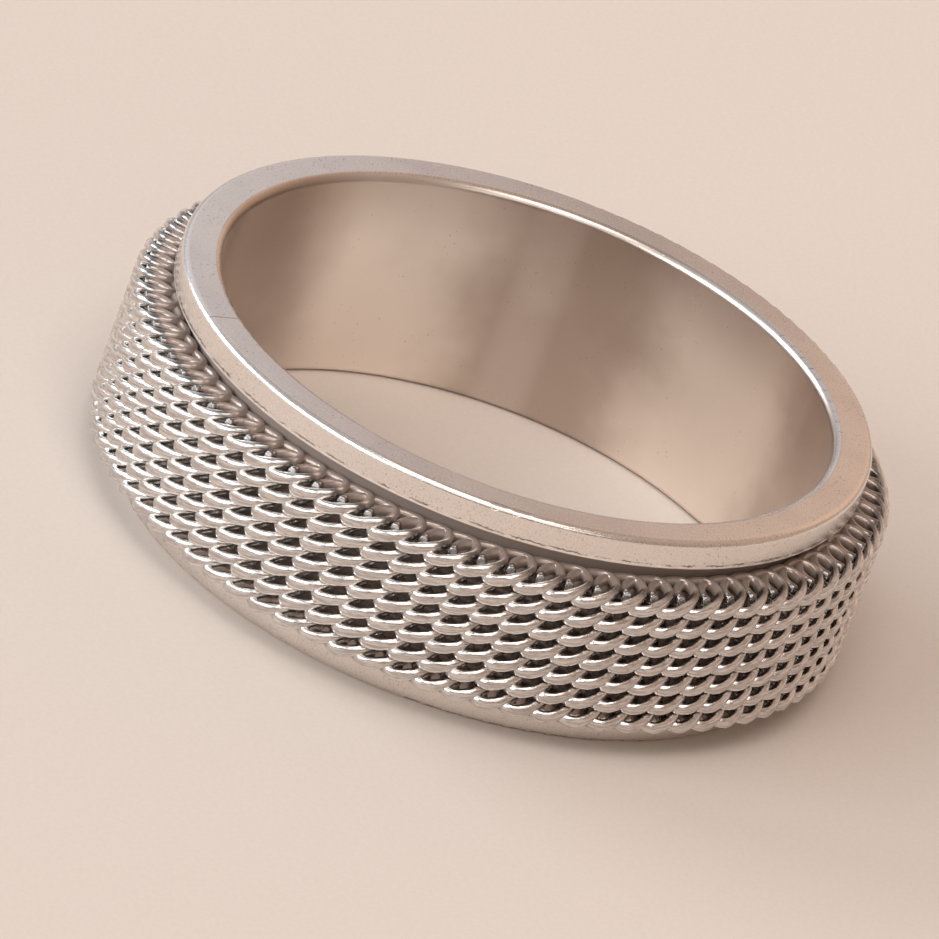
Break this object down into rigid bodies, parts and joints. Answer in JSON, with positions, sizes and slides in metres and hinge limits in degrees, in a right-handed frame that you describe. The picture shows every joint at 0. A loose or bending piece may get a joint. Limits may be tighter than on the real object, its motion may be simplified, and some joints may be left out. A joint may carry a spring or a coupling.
{
  "type": "spinner ring",
  "caption": "Steel finger ring with a raised rim at each end and a woven wire band that spins in the channel between them.",
  "frame": {"origin": "centre of the finger bore on the lower end face, which the ring lies on", "axes": "+Z along the finger bore, from the lower rim to the upper rim; the ring is round about Z"},
  "size_m": [0.0236, 0.0236, 0.007],
  "materials": {
    "band_steel": "satin polish",
    "mesh_steel": "polished wire"
  },
  "bodies": {
    "band": {"inner_band": "band_steel"},
    "spinner": {"mesh_band": "mesh_steel"}
  },
  "joints": [
    {"name": "spin", "type": "hinge", "parent": "band", "child": "spinner", "pos_m": [0, 0, 0.0034], "axis": [0, 0, 1], "continuous": true}
  ]
}
